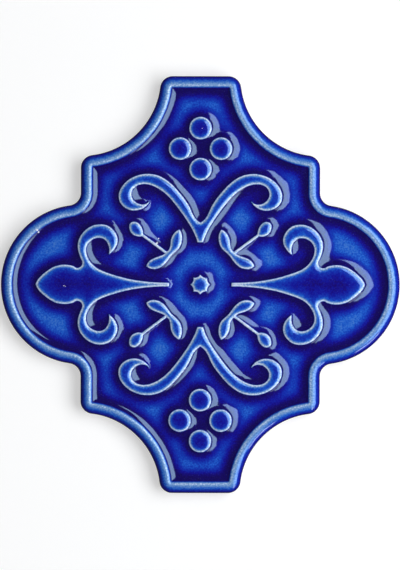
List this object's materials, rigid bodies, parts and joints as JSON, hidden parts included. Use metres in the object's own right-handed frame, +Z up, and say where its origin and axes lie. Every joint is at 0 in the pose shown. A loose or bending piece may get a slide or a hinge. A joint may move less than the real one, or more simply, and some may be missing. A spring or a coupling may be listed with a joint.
{
  "type": "arabesque tile",
  "caption": "Lantern-shaped glazed wall tile with a raised rim and raised scroll, palmette and boss ornament on a sunk field.",
  "frame": {"origin": "centre of the flat back", "axes": "+Z up out of the decorated face, +Y between the two straight ends, +X towards one round lobe"},
  "size_m": [0.15, 0.1568, 0.009],
  "materials": {
    "glaze": "gloss cobalt-blue transparent glaze that breaks pale on the raised edges"
  },
  "bodies": {
    "root": {"tile": "glaze"}
  },
  "joints": []
}
